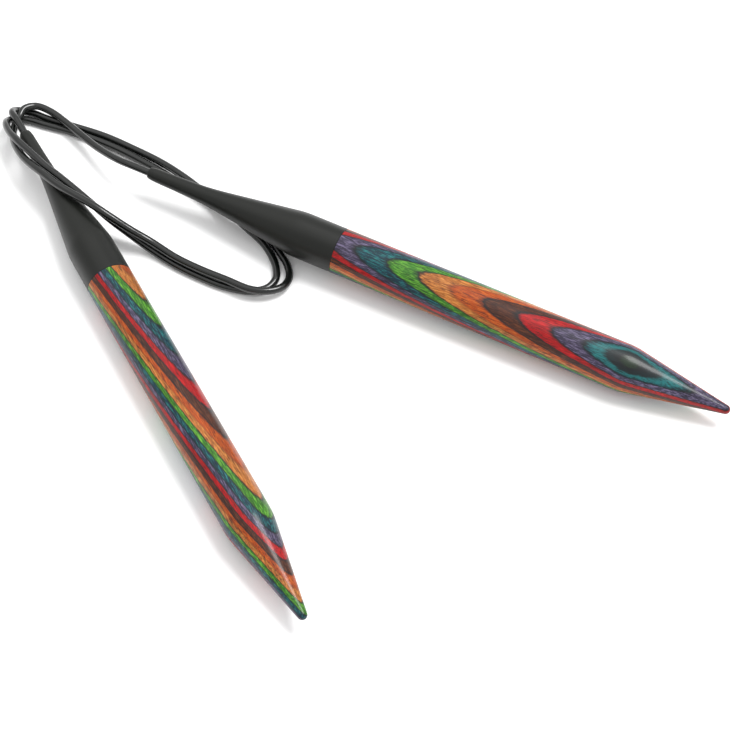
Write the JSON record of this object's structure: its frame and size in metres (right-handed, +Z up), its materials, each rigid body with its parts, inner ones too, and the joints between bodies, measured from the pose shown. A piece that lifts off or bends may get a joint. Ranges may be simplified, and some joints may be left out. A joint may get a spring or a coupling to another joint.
{
  "type": "circular knitting needle",
  "caption": "Fixed circular knitting needle: laminated wooden shanks in tapered plastic ferrules, joined by a thin flexible cable lying in flat loops.",
  "frame": {"origin": "on the table under the middle of the box round the two rigid ends, leaving out the cable", "axes": "+Z up from the table the needle lies on (the rigid ends' shortest extent), +X along their longest extent, towards the right needle's tip"},
  "size_m": [0.1415, 0.1143, 0.0102],
  "materials": {
    "right_shank_wood": "gloss varnish",
    "left_shank_wood": "gloss varnish",
    "ferrule_plastic": "satin",
    "cable_plastic": "gloss",
    "crimp_steel": "satin"
  },
  "bodies": {
    "cable": {"cable": "cable_plastic"},
    "right_cable_end": {"right_cable_end": "cable_plastic", "right_crimp_sleeve": "crimp_steel"},
    "right_needle": {"right_ferrule": "ferrule_plastic", "right_shank": "right_shank_wood"},
    "left_cable_end": {"left_cable_end": "cable_plastic", "left_crimp_sleeve": "crimp_steel"},
    "left_needle": {"left_ferrule": "ferrule_plastic", "left_shank": "left_shank_wood"}
  },
  "joints": [
    {"name": "right_swing", "type": "hinge", "parent": "cable", "child": "right_cable_end", "pos_m": [-0.04456, 0.04264, 0.00634], "axis": [0, 0, 1], "range_deg": [-2, 20], "stiffness_Nm_per_rad": 0.01},
    {"name": "right_roll", "type": "hinge", "parent": "right_cable_end", "child": "right_needle", "pos_m": [-0.0032, 0.0237, 0.00555], "axis": [0.9091, -0.4162, -0.0175], "range_deg": [-90, 90], "stiffness_Nm_per_rad": 0.0004},
    {"name": "left_swing", "type": "hinge", "parent": "cable", "child": "left_cable_end", "pos_m": [-0.06952, 0.05494, 0.0045], "axis": [0, 0, 1], "range_deg": [-5, 1], "stiffness_Nm_per_rad": 0.01},
    {"name": "left_roll", "type": "hinge", "parent": "left_cable_end", "child": "left_needle", "pos_m": [-0.0465, 0.0157, 0.0045], "axis": [0.506, -0.8625, 0], "range_deg": [-90, 90], "stiffness_Nm_per_rad": 0.0004}
  ]
}
